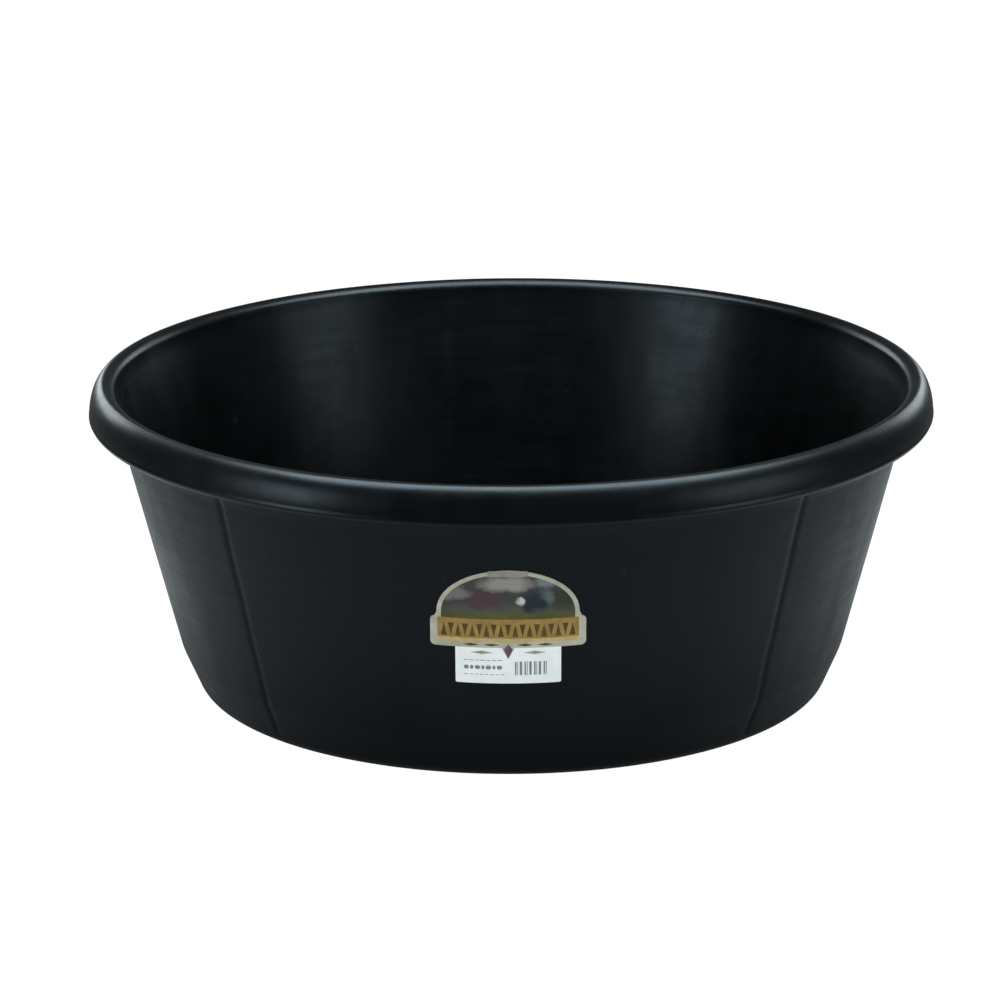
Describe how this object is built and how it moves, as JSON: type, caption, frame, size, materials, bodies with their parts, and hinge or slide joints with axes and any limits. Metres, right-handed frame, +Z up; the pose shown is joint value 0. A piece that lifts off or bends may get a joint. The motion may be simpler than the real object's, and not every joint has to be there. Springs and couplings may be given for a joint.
{
  "type": "mortar mixing tub",
  "caption": "Round rubber mixing tub with a flat floor, a tapered wall, a thick rounded lip that overhangs the wall, and a small printed label on the front.",
  "frame": {"origin": "centre of the base, on the ground that the tub stands on", "axes": "+Z up along the tub's axis; the labels face -Y; +X is to the right seen from the front"},
  "size_m": [0.68, 0.68, 0.2545],
  "materials": {
    "rubber": "satin moulded black rubber, slightly mottled and scuffed",
    "printed_film": "printed film with a cream edge, a muted picture and a gold-brown band",
    "white_paper": "white coated paper with plain grey print"
  },
  "bodies": {
    "root": {"tub": "rubber", "emblem_label": "printed_film", "info_label": "white_paper"}
  },
  "joints": []
}
